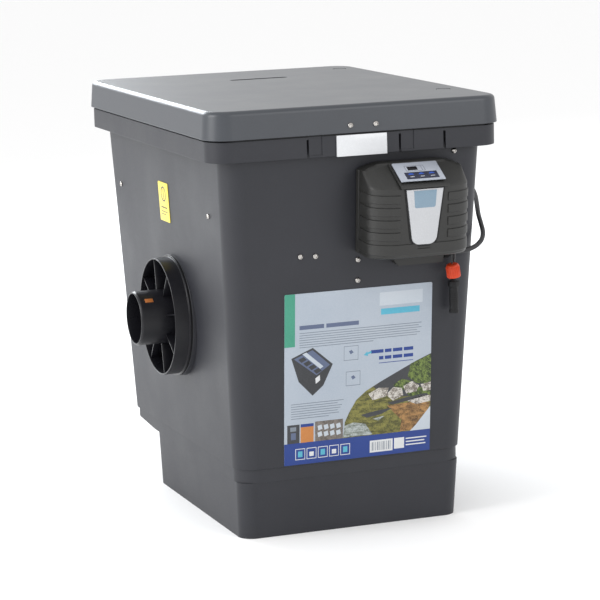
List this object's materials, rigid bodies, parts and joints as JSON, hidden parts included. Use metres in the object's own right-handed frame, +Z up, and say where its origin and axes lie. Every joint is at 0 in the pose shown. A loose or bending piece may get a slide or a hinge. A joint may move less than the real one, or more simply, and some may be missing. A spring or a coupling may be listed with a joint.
{
  "type": "pond drum filter",
  "caption": "Pond drum filter: tapered container with lift-off lid, geared screen drum, foam chamber, ribbed pipe outlet and a wall-mounted controller.",
  "frame": {"origin": "on the floor, on the underside of the container's foot, below the middle of the lid", "axes": "+Z up; -Y is the front with the label and controller; -X is the side with the outlet pipe"},
  "size_m": [0.6838, 0.9276, 0.85],
  "materials": {
    "body_plastic": "satin moulded, fine grain",
    "lid_plastic": "satin moulded",
    "housing_plastic": "fine spark-eroded grain",
    "pipe_plastic": "satin",
    "black_rubber": "matt",
    "stainless_steel": "polished",
    "silver_panel": "silver lacquer",
    "white_plastic": "gloss",
    "badge_grey": "gloss",
    "key_blue": "satin",
    "display_glass": "gloss",
    "printed_label": "printed film",
    "yellow_label": "printed film",
    "orange_cap": "satin",
    "steel_screen": "fine woven mesh",
    "drum_plastic": "satin",
    "filter_foam": "open-cell foam",
    "circuit_board": "solder mask",
    "cable_sheath": "matt"
  },
  "bodies": {
    "tank": {"container": "body_plastic", "lid_seal": "black_rubber", "baffle_screw_1": "stainless_steel", "baffle_screw_2": "stainless_steel", "bracket_screw_1": "stainless_steel", "bracket_screw_2": "stainless_steel", "rim_screw": "stainless_steel", "side_screw_1": "stainless_steel", "side_screw_2": "stainless_steel", "name_plate": "white_plastic", "picture_label": "printed_label", "yellow_label": "yellow_label", "outlet_seal": "black_rubber", "outlet_adapter": "pipe_plastic", "divider_wall": "body_plastic", "drive_bracket": "stainless_steel", "drum_axle": "stainless_steel", "axle_collar": "stainless_steel", "gear_motor": "housing_plastic", "debris_gutter": "drum_plastic", "dirt_water_pipe": "pipe_plastic", "inlet_tail_1": "pipe_plastic", "inlet_tail_2": "pipe_plastic", "drain_cap": "pipe_plastic", "rinse_pump": "housing_plastic", "spray_pipe": "pipe_plastic", "foam_baffle": "body_plastic", "foam_grid": "drum_plastic", "foam_1": "filter_foam", "foam_2": "filter_foam", "foam_3": "filter_foam", "foam_4": "filter_foam", "controller_cover": "housing_plastic", "front_blade": "white_plastic", "badge_window": "badge_grey", "controller_back": "housing_plastic", "controller_bracket": "housing_plastic", "circuit_board": "circuit_board", "panel_frame": "housing_plastic", "control_panel": "silver_panel", "display_window": "display_glass", "controller_gland": "black_rubber", "wall_gland": "black_rubber", "controller_lead": "cable_sheath", "connector_lead": "cable_sheath", "hanging_connector": "black_rubber", "connector_cap": "orange_cap", "cap_strap": "cable_sheath"},
    "lid_body": {"lid": "lid_plastic", "lid_screw_1": "stainless_steel", "lid_screw_2": "stainless_steel"},
    "drum": {"drum_front_plate": "drum_plastic", "drum_rear_ring": "drum_plastic", "drum_cage": "drum_plastic", "drum_screen": "steel_screen", "ring_gear": "drum_plastic"},
    "pinion_body": {"pinion": "drum_plastic"},
    "key_body_1": {"key_1": "key_blue"},
    "key_body_2": {"key_2": "key_blue"},
    "key_body_3": {"key_3": "key_blue"}
  },
  "joints": [
    {"name": "lid_lift", "type": "slide", "parent": "tank", "child": "lid_body", "axis": [0, 0, 1], "range_m": [0, 0.3]},
    {"name": "drum_spin", "type": "hinge", "parent": "tank", "child": "drum", "pos_m": [0.10699, 0, 0.4994], "axis": [0, 1, 0], "continuous": true},
    {"name": "pinion_spin", "type": "hinge", "parent": "tank", "child": "pinion_body", "pos_m": [0.10699, -0.2, 0.6074], "axis": [0, 1, 0], "continuous": true},
    {"name": "key_press_1", "type": "slide", "parent": "tank", "child": "key_body_1", "axis": [0, 0.5101, -0.8601], "range_m": [0, 0.001], "stiffness_N_per_m": 400},
    {"name": "key_press_2", "type": "slide", "parent": "tank", "child": "key_body_2", "axis": [0, 0.5101, -0.8601], "range_m": [0, 0.001], "stiffness_N_per_m": 400},
    {"name": "key_press_3", "type": "slide", "parent": "tank", "child": "key_body_3", "axis": [0, 0.5101, -0.8601], "range_m": [0, 0.001], "stiffness_N_per_m": 400}
  ],
  "couplings": [
    {"joint": "pinion_spin", "follows": "drum_spin", "ratio": -3.5}
  ]
}
